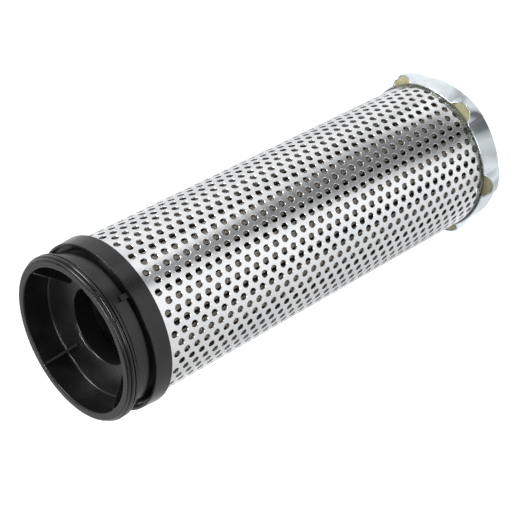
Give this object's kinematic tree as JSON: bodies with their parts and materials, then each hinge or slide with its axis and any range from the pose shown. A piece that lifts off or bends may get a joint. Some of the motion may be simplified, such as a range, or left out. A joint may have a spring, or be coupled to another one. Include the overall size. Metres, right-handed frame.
{
  "type": "hydraulic filter element",
  "caption": "Return-line hydraulic filter element: folded medium between perforated steel tubes, ribbed plastic cap with seal ring and bore, lobed pressed steel end cap.",
  "frame": {"origin": "on the element's axis, at the outer face of the closed steel cap that it stands on", "axes": "+Z along the element's axis, from the steel cap to the open mouth of the plastic cap; +X through one rib of the plastic cap"},
  "size_m": [0.0722, 0.075, 0.2124],
  "materials": {
    "black_nylon": "satin moulded, glass filled",
    "seal_rubber": "smooth, slightly glossy",
    "plated_sheet": "bright zinc plated perforated sheet",
    "wire_cloth": "fine woven wire",
    "glass_medium": "matt fibre mat",
    "core_sheet": "plain perforated sheet",
    "plated_pressing": "bright zinc plated pressing",
    "cast_resin": "translucent, glossy"
  },
  "bodies": {
    "root": {"head_cap": "black_nylon", "seal_ring": "seal_rubber", "outer_tube": "plated_sheet", "outer_cloth": "wire_cloth", "filter_medium": "glass_medium", "inner_cloth": "wire_cloth", "core_tube": "core_sheet", "end_cap": "plated_pressing", "lower_resin": "cast_resin", "upper_resin": "cast_resin"}
  },
  "joints": []
}
